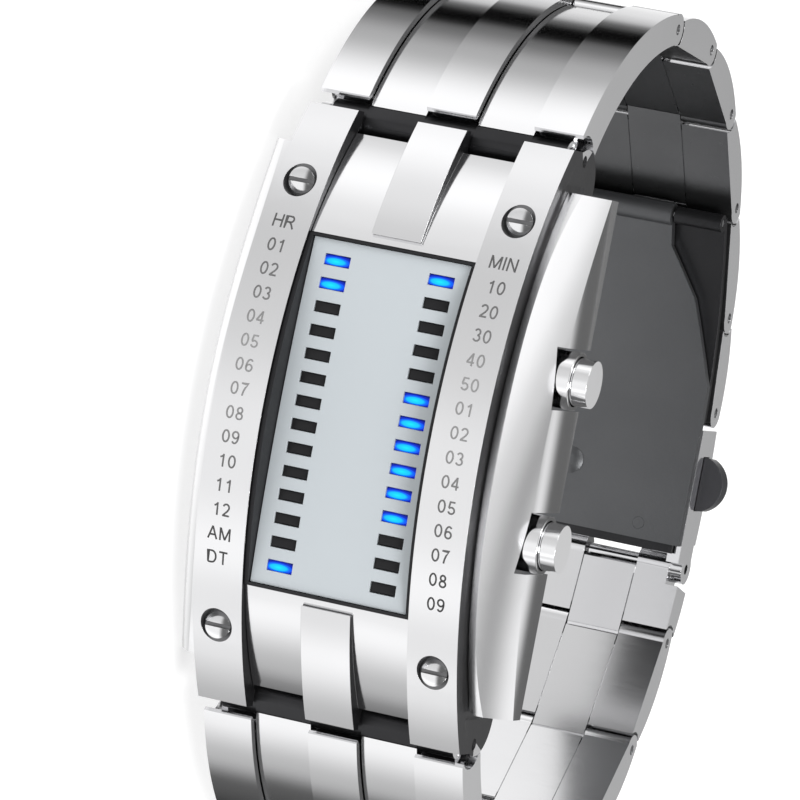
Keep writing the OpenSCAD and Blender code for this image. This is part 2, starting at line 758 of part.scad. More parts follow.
// Places of the rivets that hold the catch to the inner blade
module catch_holes() {
  at_joint(catch_i) for (p = rivet_places)
    translate([p[0], p[1], -inner_in - inner_t - over]) cylinder(r = rivet_r + 0.02, h = 3.4 + over);
}
module catch_rivets() {
  color(dark_steel) lie() at_joint(catch_i)
    for (p = rivet_places)
      translate([p[0], p[1], -inner_in - inner_t]) {
        cylinder(r = rivet_r, h = 3.2);
        // Only the middle one has a domed head
        if (p[0] == 0) intersection() {
          translate([0, 0, -0.35]) cylinder(r = 1.3, h = 0.33);
          translate([0, 0, 2.2]) sphere(r = 2.6);
        }
      }
}
module catch_body() {
  color(steel) lie() difference() {
    at_joint(catch_i) {
      slab(2 * link_half) intersection() {
        translate([knuckle_r + gap, raised_top - 1.1])
          square([catch_len - 2 * knuckle_r - 4 * gap, 1.1]);
        translate([catch_len / 2, raised_top - 3 * crown_r]) circle(r = 3 * crown_r, $fn = 180);
      }
      for (s = [-1, 1]) slab(wall, s > 0 ? link_half - wall : -link_half) {
        translate([knuckle_r + gap, seam - inner_in])
          square([catch_len - knuckle_r - gap - 0.6, inner_in + 1.2]);
        translate([catch_len, 0]) circle(r = knuckle_r);
      }
      // Seats of the rivets
      slab(4) translate([button_s - 1.4, seam - inner_in]) square([2.8, inner_in + 1]);
      slab(2 * link_half - 0.6) translate([tie_s - 0.8, seam - inner_in])
        square([1.6, inner_in + 1]);
    }
    at_joint(catch_i) {
      translate([-half_w, button_s - button_half - 0.1, -1.3])
        cube([2 * half_w, 2 * button_half + 0.2, 2.1]);
      translate([0, catch_len, 0]) rod(pin_r, half_w + over);
      // Sunk columns on the outside
      sunk_columns() translate([0, sunk_top + 0.5]) square([catch_len, 3]);
    }
    catch_holes();
  }
}
module release_button(s) {
  color(dark_steel) lie() at_joint(catch_i) {
    translate([s > 0 ? 4.6 : -link_half - 0.1, button_s - button_half, -1.1])
      cube([link_half - 4.5, 2 * button_half, 1.7]);
    intersection() {
      translate([s > 0 ? link_half + seam : -link_half - 2.4, button_s - button_half, -1.2])
        cube([2.35, 2 * button_half, 1.9]);
      translate([s * (link_half - 0.45), button_s, -5]) cylinder(r = 2.85, h = 10);
    }
  }
}
module release_button_left() { release_button(-1); }
module release_button_right() { release_button(1); }
module release_spring(s) {
  color(steel) lie() at_joint(catch_i) translate([s * (2 + seam), button_s, -0.25])
    rotate([0, s * 90, 0]) spring_sleeve(0.5, 0.8, 2.5);
}
module release_spring_left() { release_spring(-1); }
module release_spring_right() { release_spring(1); }

case_middle();
rail_left();
rail_right();
end_cover_top();
end_cover_bottom();
display_frame();
display_plate();
light_guide();
light_diodes();
diode_board();
main_board();
battery();
battery_clip();
module_holder();
case_back();
back_gasket();
back_screws();
rail_screws();
guard_left();
guard_right();
pusher_tubes();
pusher_top();
pusher_bottom();
pusher_spring_top();
pusher_spring_bottom();
lug_bar_top();
lug_bar_bottom();
end_link_top();
link_top_1();
link_top_2();
link_top_3();
link_top_4();
clasp_link();
pin_top_1();
pin_top_2();
pin_top_3();
pin_top_4();
pin_top_5();
clasp_bar();
outer_blade();
blade_pin();
inner_blade();
catch_body();
catch_rivets();
release_button_left();
release_button_right();
release_spring_left();
release_spring_right();
short_link();
link_bottom_1();
link_bottom_2();
link_bottom_3();
link_bottom_4();
end_link_bottom();
pin_bottom_1();
pin_bottom_2();
pin_bottom_3();
pin_bottom_4();
pin_bottom_5();
catch_spring_bar();
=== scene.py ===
"""Looks of an LED bracelet watch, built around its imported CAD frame."""
import json
import math

import bmesh
import bpy
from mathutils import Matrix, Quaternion, Vector


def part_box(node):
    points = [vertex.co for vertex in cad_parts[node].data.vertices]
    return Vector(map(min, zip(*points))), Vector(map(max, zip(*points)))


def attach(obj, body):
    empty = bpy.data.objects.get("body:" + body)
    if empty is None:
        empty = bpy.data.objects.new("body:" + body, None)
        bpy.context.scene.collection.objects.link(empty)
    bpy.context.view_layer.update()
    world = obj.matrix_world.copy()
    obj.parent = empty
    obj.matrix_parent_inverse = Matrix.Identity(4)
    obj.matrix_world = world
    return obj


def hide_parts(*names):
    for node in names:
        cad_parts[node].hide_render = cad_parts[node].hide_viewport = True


MM = 0.001
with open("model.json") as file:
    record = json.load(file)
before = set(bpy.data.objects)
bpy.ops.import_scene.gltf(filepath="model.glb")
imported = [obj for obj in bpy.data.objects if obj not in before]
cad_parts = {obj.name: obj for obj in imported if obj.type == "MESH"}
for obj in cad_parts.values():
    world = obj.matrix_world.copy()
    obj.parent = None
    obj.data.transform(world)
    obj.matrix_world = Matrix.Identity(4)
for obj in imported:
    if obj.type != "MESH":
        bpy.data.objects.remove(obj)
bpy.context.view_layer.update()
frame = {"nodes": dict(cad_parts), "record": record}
record = frame["record"]

# The watch lies on its left guard: its own axes are X to 3 o'clock, Y to 12 o'clock and
# Z out of the face, with Z = 0 at the top of the side rails' arc.
GUARD_REACH = 16.0
GUARD_OUT = -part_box("guard_left")[0].z / MM + GUARD_REACH
REST_DROP = 10.0


def at(x, y, z):
    """Place given in the watch's own axes and in millimetres, in the row frame."""
    return Vector((-y, -(z + REST_DROP), x + GUARD_OUT)) * MM


def in_watch(place, turn_only=False):
    """A place or a direction in the watch's own axes, places in millimetres."""
    if turn_only:
        return Vector((place.z, -place.x, -place.y))
    return Vector((place.z / MM - GUARD_OUT, -place.x / MM, -place.y / MM - REST_DROP))


# Rails, display and their pitches, in millimetres
ARC_R = 41.7
RAIL_X = 10.35
NUMBER_TOP_Y = 16.2
NUMBER_PITCH = 2.15
LED_X = 4.9
LED_PITCH = 2.1
LED_COUNT = 14
WINDOW = (2.4, 1.0)
PLATE_DROP = 2.86
PLATE_R = 143.0

# Half of the watch's width over the rails
HALF_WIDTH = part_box("rail_right")[1].z / MM - GUARD_OUT


def arc_z(y):
    """Height of the rails' arc at distance y from its top."""
    return -ARC_R + math.sqrt(ARC_R ** 2 - y * y)


def plate_z(y):
    """Height of the display plate's face at distance y from its middle."""
    return -PLATE_DROP - PLATE_R + math.sqrt(PLATE_R ** 2 - y * y)


# Grain and tone of the materials: even, or drawn out along the row's Z
EVEN = (1, 1, 1)
DRAWN = (1, 1, 0.2)
GRAIN_DETAIL = 3.0
TONE_SCALE = 90.0


def link_nodes(tree, *pairs):
    """Links each output socket to the input socket that follows it."""
    for out, into in pairs:
        tree.links.new(out, into)


def grain(tree, stretch, scale, strength, distance, base_rough, rough_span):
    """Fine surface grain: a stretched noise that drives bump and roughness."""
    nodes = tree.nodes
    shader = nodes["Principled BSDF"]
    coords = nodes.new("ShaderNodeTexCoord")
    mapping = nodes.new("ShaderNodeMapping")
    mapping.inputs["Scale"].default_value = stretch
    noise = nodes.new("ShaderNodeTexNoise")
    noise.inputs["Scale"].default_value = scale
    noise.inputs["Detail"].default_value = GRAIN_DETAIL
    spread = nodes.new("ShaderNodeMapRange")
    spread.inputs["To Min"].default_value = base_rough - rough_span
    spread.inputs["To Max"].default_value = base_rough + rough_span
    bump = nodes.new("ShaderNodeBump")
    bump.inputs["Strength"].default_value = strength
    bump.inputs["Distance"].default_value = distance
    link_nodes(
        tree,
        (coords.outputs["Object"], mapping.inputs["Vector"]),
        (mapping.outputs["Vector"], noise.inputs["Vector"]),
        (noise.outputs["Fac"], spread.inputs["Value"]),
        (spread.outputs["Result"], shader.inputs["Roughness"]),
        (noise.outputs["Fac"], bump.inputs["Height"]),
        (bump.outputs["Normal"], shader.inputs["Normal"]),
    )


def tone(tree, low, high, scale):
    """Slow colour variation between two near tones."""
    nodes = tree.nodes
    noise = nodes.new("ShaderNodeTexNoise")
    noise.inputs["Scale"].default_value = scale
    ramp = nodes.new("ShaderNodeValToRGB")
    ramp.color_ramp.elements[0].color = (*low, 1)
    ramp.color_ramp.elements[1].color = (*high, 1)
    coords = nodes.new("ShaderNodeTexCoord")
    link_nodes(
        tree,
        (coords.outputs["Object"], noise.inputs["Vector"]),
        (noise.outputs["Fac"], ramp.inputs["Fac"]),
        (ramp.outputs["Color"], nodes["Principled BSDF"].inputs["Base Color"]),
    )


def surface(name, low, high, metallic, rough, rough_span, stretch, scale, bump, depth):
    """Material between two tones, with a roughness and its span, and then its grain."""
    material = bpy.data.materials.new(name)
    material.use_nodes = True
    shader = material.node_tree.nodes["Principled BSDF"]
    shader.inputs["Metallic"].default_value = metallic
    tone(material.node_tree, low, high, TONE_SCALE)
    grain(material.node_tree, stretch, scale, bump, depth, rough, rough_span)
    return material


def bend_normal(material, weights, shift, side):
    """Tilts a material's normal towards a side, by an amount that grows with place."""
    tree = material.node_tree
    shader = tree.nodes["Principled BSDF"]
    plain = shader.inputs["Normal"].links[0].from_socket
    coords = tree.nodes.new("ShaderNodeTexCoord")
    amount = tree.nodes.new("ShaderNodeVectorMath")
    amount.operation = "DOT_PRODUCT"
    amount.inputs[1].default_value = weights
    moved = tree.nodes.new("ShaderNodeMath")
    moved.operation = "ADD"
    moved.inputs[1].default_value = shift
    tilt = tree.nodes.new("ShaderNodeVectorMath")
    tilt.operation = "SCALE"
    tilt.inputs[0].default_value = side
    total = tree.nodes.new("ShaderNodeVectorMath")
    total.operation = "ADD"
    unit = tree.nodes.new("ShaderNodeVectorMath")
    unit.operation = "NORMALIZE"
    link_nodes(
        tree,
        (coords.outputs["Object"], amount.inputs[0]),
        (amount.outputs["Value"], moved.inputs[0]),
        (moved.outputs["Value"], tilt.inputs["Scale"]),
        (plain, total.inputs[0]),
        (tilt.outputs["Vector"], total.inputs[1]),
        (total.outputs["Vector"], unit.inputs[0]),
        (unit.outputs["Vector"], shader.inputs["Normal"]),
    )
    return material


def colour_ramp(tree, stops):
    """Smooth ramp through colours at places from 0 to 1."""
    ramp = tree.nodes.new("ShaderNodeValToRGB")
    ramp.color_ramp.interpolation = "EASE"
    points = ramp.color_ramp.elements
    for k, (place, colour) in enumerate(stops):
        point = points[k] if k < 2 else points.new(place)
        point.position = place
        point.color = (*colour, 1)
    return ramp


def grey_ramp(tree, stops, low, high):
    """Smooth ramp through grey levels at places between a low and a high value."""
    return colour_ramp(tree, [((place - low) / (high - low), (level, level, level))
                              for place, level in stops])


# Paleness of the ink at places along the rails, a painted sheen where the arc catches light, from
# 12 to 6 o'clock in millimetres
INK_SPAN = 20
INK_SHEEN = [(-17, 0.07), (-11, 0.12), (-6, 0.22), (0, 0.2), (6, 0.1), (13, 0.03)]


def sheened_ink(name):
    """Number ink painted paler along the upper middle of the rails: a painted sheen."""
    material = surface(name, (0.03, 0.03, 0.032), (0.05, 0.05, 0.052), 0.1, 0.5,
                       0.05, EVEN, 4200.0, 0.05, 0.000004)
    tree = material.node_tree
    coords = tree.nodes.new("ShaderNodeTexCoord")
    split = tree.nodes.new("ShaderNodeSeparateXYZ")
    along = tree.nodes.new("ShaderNodeMapRange")
    along.inputs["From Min"].default_value = -INK_SPAN * MM
    along.inputs["From Max"].default_value = INK_SPAN * MM
    # Painted sheen: the ink's colour is lighter where the rails' arc catches the light
    painted_sheen = grey_ramp(tree, INK_SHEEN, -INK_SPAN, INK_SPAN)
    link_nodes(
        tree,
        (coords.outputs["Object"], split.inputs["Vector"]),
        (split.outputs["X"], along.inputs["Value"]),
        (along.outputs["Result"], painted_sheen.inputs["Fac"]),
        (painted_sheen.outputs["Color"], tree.nodes["Principled BSDF"].inputs["Base Color"]),
    )
    return material


# A guard's slope lies at SLOPE_X and its normal bends down and outwards. Its outer face has
# its middle at SIDE_MIDDLE in the row's Y.
SLOPE_X = 14.8
SLOPE_HALF_WIDTH = 1.25
SLOPE_BEND = (0.92, 0.39)
SIDE_MIDDLE = 1.4
SIDE_HALF_HEIGHT = 4.0
GUARD_HALF_LENGTH = 23

# How far the shading normals tilt: at the slope's edges, at the outer face's edges and ends,
# and all over the outer face
CROWN = 0.12
SIDE_ROUND = 0.24
SIDE_TWIST = 0.1
SIDE_LEAN = 0.06


def guard_steel(name):
    """Steel of the guards, between satin and polished."""
    return surface(name, (0.8, 0.8, 0.81), (0.86, 0.86, 0.87), 1.0, 0.16,
                   0.02, DRAWN, 3000.0, 0.03, 0.000006)


def crowned(name, sign):
    """Steel of a guard's slope, slightly crowned from its inner to its outer edge."""
    middle = (GUARD_OUT + sign * SLOPE_X) * MM
    rise = sign * CROWN / (SLOPE_HALF_WIDTH * MM)
    down, out = SLOPE_BEND
    return bend_normal(guard_steel(name), (0, 0, rise), -middle * rise, (0, down, sign * out))


def rounded_side(name):
    """Steel of a guard's outer face, rounded from its upper to its lower edge."""
    rise = SIDE_ROUND / (SIDE_HALF_HEIGHT * MM)
    return bend_normal(guard_steel(name), (-SIDE_TWIST / (GUARD_HALF_LENGTH * MM), rise, 0),
                       -SIDE_MIDDLE * MM * rise - SIDE_LEAN, (0, 1, 0))


def leaning(name, amount, side):
    """Steel whose shading normal leans to a side, so that a flat face mirrors more light."""
    return bend_normal(guard_steel(name), (0, 0, 0), amount, side)


MATERIALS = {
    "satin": surface("satin_steel", (0.77, 0.77, 0.78), (0.82, 0.82, 0.83), 1.0, 0.24,
                     0.03, (0.25, 1, 1), 9000.0, 0.05, 0.000008),
    "polished": surface("polished_steel", (0.8, 0.8, 0.81), (0.86, 0.86, 0.87), 1.0, 0.09,
                        0.02, DRAWN, 3000.0, 0.03, 0.000006),
    "brushed": surface("brushed_steel", (0.77, 0.77, 0.78), (0.83, 0.83, 0.84), 1.0, 0.12,
                       0.03, (1, 1, 0.06), 5200.0, 0.04, 0.000008),
    # Painted shade: dark steel for the inner blade and its rivets, which lie in the shade inside
    # the loop
    "blade": surface("blade_steel", (0.11, 0.113, 0.118), (0.16, 0.163, 0.168), 0.85, 0.42,
                     0.08, EVEN, 3200.0, 0.3, 0.00003),
    "dark": surface("dark_button", (0.045, 0.045, 0.05), (0.075, 0.075, 0.08), 0.6, 0.35,
                    0.05, EVEN, 5200.0, 0.12, 0.00001),
    "plate": surface("display_film", (0.39, 0.42, 0.44), (0.4, 0.43, 0.45), 0.0, 0.32,
                     0.02, EVEN, 4200.0, 0.02, 0.000004),
    "black": surface("black_moulding", (0.008, 0.008, 0.009), (0.016, 0.016, 0.018), 0.0,
                     0.45, 0.05, EVEN, 4200.0, 0.08, 0.00001),
    "ink": sheened_ink("number_ink"),
    # Painted shade: dark steel in the rail screws' countersinks and slots and inside the lugs'
    # holes
    "recess_shade": surface("recess_shade_steel", (0.12, 0.12, 0.124), (0.24, 0.24, 0.245), 0.9, 0.4,
                     0.08, EVEN, 4200.0, 0.15, 0.00001),
    "cap": leaning("cap_steel", 0.22, (-0.3, -1, 0)),
    "slope_right": crowned("slope_right_steel", 1),
    "slope_left": crowned("slope_left_steel", -1),
    "guard_side": rounded_side("guard_side_steel"),
    # Painted shadow: darker steel for the case wall under the right rail, where the guard shades
    # it
    "wall": surface("wall_steel", (0.16, 0.16, 0.165), (0.22, 0.22, 0.225), 1.0, 0.38,
                    0.06, EVEN, 2600.0, 0.3, 0.00003),
    "side": leaning("side_steel", 0.17, (-0.2, -1, 0)),
    # Painted shade: near black steel for the barrel between lugs and covers, the walls beside the
    # display, the outer blade and the dark blade lip
    "gap": surface("gap_steel", (0.03, 0.03, 0.032), (0.06, 0.06, 0.063), 0.9, 0.4,
                   0.05, EVEN, 3200.0, 0.2, 0.00002),
    # Painted shade: darker steel for link faces that look into the bracelet's loop
    "inside": surface("inside_steel", (0.12, 0.122, 0.126), (0.2, 0.202, 0.206), 0.95, 0.3,
                      0.06, EVEN, 2600.0, 0.25, 0.00002),
    "board": surface("solder_mask", (0.01, 0.09, 0.04), (0.015, 0.12, 0.05), 0.0, 0.35,
                     0.05, EVEN, 900.0, 0.05, 0.00001),
    "brass": surface("clip_brass", (0.6, 0.45, 0.2), (0.7, 0.53, 0.25), 1.0, 0.3,
                     0.05, DRAWN, 2500.0, 0.05, 0.00001),
    "rubber": surface("seal_rubber", (0.012, 0.012, 0.012), (0.02, 0.02, 0.02), 0.0, 0.7,
                      0.05, EVEN, 3000.0, 0.1, 0.00001),
}
DULL_SHINE = 0.25
for dull in ("black", "plate"):
    dull_shader = MATERIALS[dull].node_tree.nodes["Principled BSDF"]
    dull_shader.inputs["Specular IOR Level"].default_value = DULL_SHINE


def body_of(node):
    """Moving body that holds a CAD node."""
    return next(b for b, nodes in record["behaviour"]["bodies"].items() if node in nodes)


def new_object(name, data):
    """Object in the scene that shows a mesh, a lamp or a camera."""
    piece = bpy.data.objects.new(name, data)
    bpy.context.scene.collection.objects.link(piece)
    return piece


# Refining of round faces: points per metre that count as apart, the least turn of an edge
# that is split, and how alike two faces' normals are when one curve runs through them
WELD = 1e7
FLAT_TURN = math.cos(math.radians(3.0))
SAME_FACE = 0.98
LEAST_SPARE = 0.05
REFINEMENTS = 2

# Rounding of edges: its steps and the least turn of an edge, in degrees. Faces that turn less
# than FLAT are joined first, and edges that turn more than SHARP are kept hard.
ROUND_STEPS = 2
ROUND_ANGLE = 28.0
FLAT = 0.4
GUARD_FLAT = 0.02
SHARP = 12


def welded_triangles(mesh):
    """Points of a CAD mesh, each once, and its triangles with their corners' normals."""
    points, index_of, triangles = [], {}, []
    for face in mesh.polygons:
        corners = []
        for loop in face.loop_indices:
            place = mesh.vertices[mesh.loops[loop].vertex_index].co
            key = tuple(round(c * WELD) for c in place)
            if key not in index_of:
                index_of[key] = len(points)
                points.append(place.copy())
            corners.append((index_of[key], mesh.corner_normals[loop].vector.copy()))
        for k in range(1, len(corners) - 1):
            ring = (corners[0], corners[k], corners[k + 1])
            if len({i for i, n in ring}) == 3:
                triangles.append(ring)
    return points, triangles


def bulge(chord, ends):
    """How far an edge's middle lies off its chord, from the surface normals at its ends."""
    rises = [((a + b).normalized(), chord.dot(b - a) / 8) for a, b in ends]
    (side, rise), (other, lift) = rises[0], rises[-1]
    same = side.dot(other)
    if same > SAME_FACE:
        return side * (rise + lift) / 2
    spare = 1 - same * same
    if spare < LEAST_SPARE:
        return Vector()
    return (side * (rise - same * lift) + other * (lift - same * rise)) / spare


def refine(points, triangles):
    """Splits each curved edge in two, with the new point on the true curve."""
    edges = {}
    for ring in triangles:
        for k in range(3):
            (i, a), (j, b) = ring[k], ring[(k + 1) % 3]
            ends = (a, b) if i < j else (b, a)
            edges.setdefault((min(i, j), max(i, j)), []).append(ends)
    middle = {}
    for (i, j), ends in edges.items():
        if min(a.dot(b) for a, b in ends) < FLAT_TURN:
            chord = points[j] - points[i]
            middle[(i, j)] = len(points)
            points.append((points[i] + points[j]) / 2 + bulge(chord, ends))
    result = []
    for ring in triangles:
        mids = []
        for k in range(3):
            (i, a), (j, b) = ring[k], ring[(k + 1) % 3]
            spot = middle.get((min(i, j), max(i, j)))
            mids.append(None if spot is None else (spot, (a + b).normalized()))
        split = [k for k in range(3) if mids[k]]
        if len(split) == 3:
            result += [(ring[0], mids[0], mids[2]), (mids[0], ring[1], mids[1]),
                       (mids[2], mids[1], ring[2]), tuple(mids)]
        elif len(split) == 2:
            k = (3 - sum(split)) % 3
            one, two, tip = ring[k], ring[(k + 1) % 3], ring[(k + 2) % 3]
            near, far = mids[(k + 1) % 3], mids[(k + 2) % 3]
            result += [(one, two, near), (one, near, far), (far, near, tip)]
        elif len(split) == 1:
            k = split[0]
            one, two, tip = ring[k], ring[(k + 1) % 3], ring[(k + 2) % 3]
            result += [(one, mids[k], tip), (mids[k], two, tip)]
        else:
            result.append(ring)
    return result


def fine_mesh(node):
    """Copy of a CAD node's mesh with its round faces made finer."""
    points, triangles = welded_triangles(frame["nodes"][node].data)
    for turn in range(REFINEMENTS):
        triangles = refine(points, triangles)
    mesh = bpy.data.meshes.new(node + "_form")
    mesh.from_pydata(points, [], [[i for i, n in ring] for ring in triangles])
    return mesh


def dress(node, material, edge):
    """Stands for a CAD node with the same form and edges rounded by some millimetres."""
    mesh = fine_mesh(node)
    mesh.materials.append(MATERIALS[material])
    form = bmesh.new()
    form.from_mesh(mesh)
    flat = GUARD_FLAT if node in GUARDS else FLAT
    bmesh.ops.dissolve_limit(form, angle_limit=math.radians(flat), verts=form.verts,
                             edges=form.edges)
    form.to_mesh(mesh)
    form.free()
    mesh.polygons.foreach_set("use_smooth", [True] * len(mesh.polygons))
    piece = new_object(node + "_form", mesh)
    if edge:
        rounding = piece.modifiers.new("rounding", "BEVEL")
        rounding.width = edge * MM
        rounding.segments = ROUND_STEPS
        rounding.limit_method = "ANGLE"
        rounding.angle_limit = math.radians(ROUND_ANGLE)
        rounding.harden_normals = True
    else:
        mesh.set_sharp_from_angle(angle=math.radians(SHARP))
    shading = piece.modifiers.new("shading", "WEIGHTED_NORMAL")
    shading.keep_sharp = True
    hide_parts(node)
    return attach(piece, body_of(node))


def retouch(piece, material, is_there):
    """Gives another material to the faces of a piece that pass a test."""
    mesh = piece.data
    mesh.materials.append(MATERIALS[material])
    for face in mesh.polygons:
        if is_there(in_watch(face.center), in_watch(face.normal, True)):
            face.material_index = len(mesh.materials) - 1


def finish_node(node, material):
    """Gives a CAD node a better material and leaves its form as it is."""
    data = frame["nodes"][node].data
    data.materials.clear()
    data.materials.append(MATERIALS[material])


# Places that the tests below go by, in the watch's own axes and in millimetres
SCREW_X = 10.32
SCREW_Y = 20.0
SCREW_ROOM = 1.52
HEAD_R = 1.5
SLOT_HALF = 0.19
SLOT_DEPTH = 0.1
ROOM_DEPTH = 0.12
LUG_PIN = (26.2, -13.4)
PIN_HOLE_R = 0.7
BARREL_R = 2.0
LUG_Y = 23.6
SKIN = 0.05
WALL_T = 0.6
INNER_X = 9.5
INNER_Y = 27
INNER_DEPTH = 0.15
LINK_SIDE_X = 11
GUARD_SIDE_X = 15.5
CAP_X = 17.5
LOOP_Z = -38

# Least part of a normal that lies along an axis, for faces that look along it
UPWARDS = 0.3
SLOPE_UPWARDS = 0.2
SIDEWAYS = 0.9
FLAT_SIDEWAYS = 0.95
GUARD_SIDEWAYS = 0.98
INWARDS = 0.75


def screw_offset(p):
    """Distance of a place from the nearest rail screw's axis, and its Y part."""
    across = abs(p.x) - SCREW_X
    along = abs(p.y) - SCREW_Y
    return math.hypot(across, along), along


def pin_distance(p):
    """Distance of a place from the nearer lug bar's axis."""
    return math.hypot(abs(p.y) - LUG_PIN[0], p.z - LUG_PIN[1])


# Each test takes a face's place p and its normal n, in the watch's own axes.
def in_screw_room(p, n):
    """Wall and floor of a rail screw's countersink."""
    return screw_offset(p)[0] < SCREW_ROOM and p.z < arc_z(p.y) - ROOM_DEPTH


def in_slot(p, n):
    """Walls and floor of a rail screw's slot."""
    return abs(screw_offset(p)[1]) < SLOT_HALF and p.z < arc_z(SCREW_Y) - SLOT_DEPTH


def in_pin_hole(p, n):
    """Inside of the lugs' holes."""
    return abs(p.x) < HALF_WIDTH - SKIN and pin_distance(p) < PIN_HOLE_R


def on_slope(p, n):
    """Slope of a guard."""
    return n.z > SLOPE_UPWARDS and abs(n.x) < GUARD_SIDEWAYS


def on_side(p, n):
    """Outer face of a guard."""
    return abs(n.x) > GUARD_SIDEWAYS and abs(p.x) > GUARD_SIDE_X


def on_head(p, n):
    """Top of a rail screw."""
    return n.z > UPWARDS and screw_offset(p)[0] < HEAD_R


def on_end(p, n):
    """End of a pusher's cap."""
    return n.x > SIDEWAYS and p.x > CAP_X


def on_wall(p, n):
    """Outer wall under the right rail, between the lugs."""
    return (n.x > SIDEWAYS and p.x > HALF_WIDTH - WALL_T and p.z < arc_z(p.y) - SKIN
            and abs(p.y) < LUG_Y)


def on_inner_wall(p, n):
    """Wall left of the display that looks to 3 o'clock."""
    return (n.x > SIDEWAYS and abs(p.y) < INNER_Y and abs(p.x) < INNER_X
            and p.z < arc_z(p.y) - INNER_DEPTH)


def on_lug_side(p, n):
    """Right side of a lug."""
    return n.x > FLAT_SIDEWAYS and abs(p.y) > LUG_Y


def on_link_side(p, n):
    """Right side of a link or of the catch."""
    return n.x > FLAT_SIDEWAYS and p.x > LINK_SIDE_X


def in_barrel(p, n):
    """The end link's barrel round the lug bar, in the shade between lugs and covers."""
    return pin_distance(p) < BARREL_R and abs(n.x) < SIDEWAYS


def on_inner_face(p, n):
    """Face that looks to the middle of the bracelet's loop."""
    inwards = Vector((0, -p.y, LOOP_Z - p.z)).normalized()
    return n.dot(inwards) > INWARDS


BARRELS = [("gap", in_barrel)]
SIDES = [("side", on_link_side)]
# Link faces inside the loop get painted shade
LOOP_SHADES = [("inside", on_inner_face)]

# Faces of each piece that get another material; the darker ones are painted shade
RETOUCHED = {
    "rail_left": [("gap", on_inner_wall), ("recess_shade", in_screw_room)],
    "rail_right": [("recess_shade", in_screw_room), ("wall", on_wall)],
    "rail_screws": [("cap", on_head), ("recess_shade", in_slot)],
    "case_middle": [("recess_shade", in_pin_hole), ("wall", on_wall), ("side", on_lug_side)],
    "end_cover_top": [("gap", on_inner_wall)],
    "end_cover_bottom": [("gap", on_inner_wall)],
    "guard_right": [("slope_right", on_slope), ("guard_side", on_side)],
    "guard_left": [("slope_left", on_slope), ("guard_side", on_side)],
    "pusher_top": [("cap", on_end)],
    "pusher_bottom": [("cap", on_end)],
    "catch_body": SIDES,
    "end_link_top": LOOP_SHADES + BARRELS + SIDES,
    "end_link_bottom": BARRELS + SIDES,
    "short_link": SIDES,
    "clasp_link": LOOP_SHADES + SIDES,
}
LINK_PAIRS = 4
for count in range(1, LINK_PAIRS + 1):
    RETOUCHED[f"link_top_{count}"] = LOOP_SHADES + SIDES
    RETOUCHED[f"link_bottom_{count}"] = SIDES

GUARDS = ["guard_left", "guard_right"]
LINKS = [n for n in frame["nodes"] if n.startswith(("link_", "end_link", "short_link",
                                                    "clasp_link"))]

# Nodes with their material and the width of their rounded edges in millimetres
DRESSED = [
    (["rail_left", "rail_right"], "satin", 0.14),
    (["case_middle", "end_cover_top", "end_cover_bottom", "case_back"], "brushed", 0.1),
    (LINKS, "brushed", 0.16),
    (["pusher_top", "pusher_bottom", "pusher_tubes", "rail_screws", "back_screws",
      "catch_body"], "polished", 0.1),
    # The inner blade and its rivets are steel painted dark for the shade inside the loop
    (["inner_blade", "catch_rivets"], "blade", 0.08),
    (GUARDS, "polished", 0),
    # The outer blade is painted near black for the shade it lies in
    (["outer_blade"], "gap", 0.08),
    (["release_button_left", "release_button_right"], "dark", 0.3),
]
PLATE_EDGE = 0.05

# Nodes that keep their form. Those not named in either list are polished.
FINISHED = {
    "display_frame": "black", "light_guide": "black", "module_holder": "black",
    "diode_board": "board", "main_board": "board", "battery_clip": "brass",
    "back_gasket": "rubber", "light_diodes": "plate",
}


def dress_all():
    """Gives every CAD node its look."""
    done = set()
    for names, material, edge in DRESSED:
        for node in names:
            piece = dress(node, material, edge)
            for second, is_there in RETOUCHED.get(node, ()):
                retouch(piece, second, is_there)
            done.add(node)
    for node in frame["nodes"]:
        if node == "display_plate":
            dress(node, "plate", PLATE_EDGE)
        elif node not in done:
            finish_node(node, FINISHED.get(node, "polished"))


def mesh_of(form, name):
    """Mesh with the form that was drawn."""
    mesh = bpy.data.meshes.new(name)
    form.to_mesh(mesh)
    form.free()
    return mesh


# Blade lip, a dark piece that paints the shade in the gap before the short link: where it begins
# and how long it is in the row's X, the heights of its faces, and how far its ends stay inside the
# blade's
LIP_START = 8.35
LIP_LENGTH = 0.95
LIP_HEIGHTS = (-65.85, -66.35)
LIP_INSET = 0.6


def draw_blade_lip():
    """Thin dark lip at the inner blade's end, before the short link: painted shade in the gap
    there.
    """
    low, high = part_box("inner_blade")
    ends = (LIP_START * MM, LIP_START * MM + LIP_LENGTH * MM)
    faces = [at(0, 0, height).y for height in LIP_HEIGHTS]
    sides = (low.z + LIP_INSET * MM, high.z - LIP_INSET * MM)
    form = bmesh.new()
    spots = [form.verts.new((x, y, z)) for x in ends for y in faces for z in sides]
    for ring in ((0, 1, 3, 2), (4, 6, 7, 5), (0, 4, 5, 1), (2, 3, 7, 6), (0, 2, 6, 4),
                 (1, 5, 7, 3)):
        form.faces.new([spots[k] for k in ring])
    bmesh.ops.recalc_face_normals(form, faces=form.faces)
    mesh = mesh_of(form, "inner_blade_lip")
    mesh.materials.append(MATERIALS["gap"])
    piece = new_object("inner_blade_lip", mesh)
    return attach(piece, body_of("inner_blade"))


# Number and unit marks from 12 o'clock down, then their height and lift in millimetres and
# their stroke's width and the gap between letters on a height of one
LEFT_MARKS = ["HR"] + [f"{h:02d}" for h in range(1, 13)] + ["AM", "DT"]
RIGHT_MARKS = ["MIN"] + [f"{m}" for m in range(10, 60, 10)] + [f"{m:02d}" for m in range(1, 10)]
MARK_H = 1.17
MARK_LIFT = 0.012
STROKE = 0.135
LETTER_GAP = 0.16
MITRE = 0.5


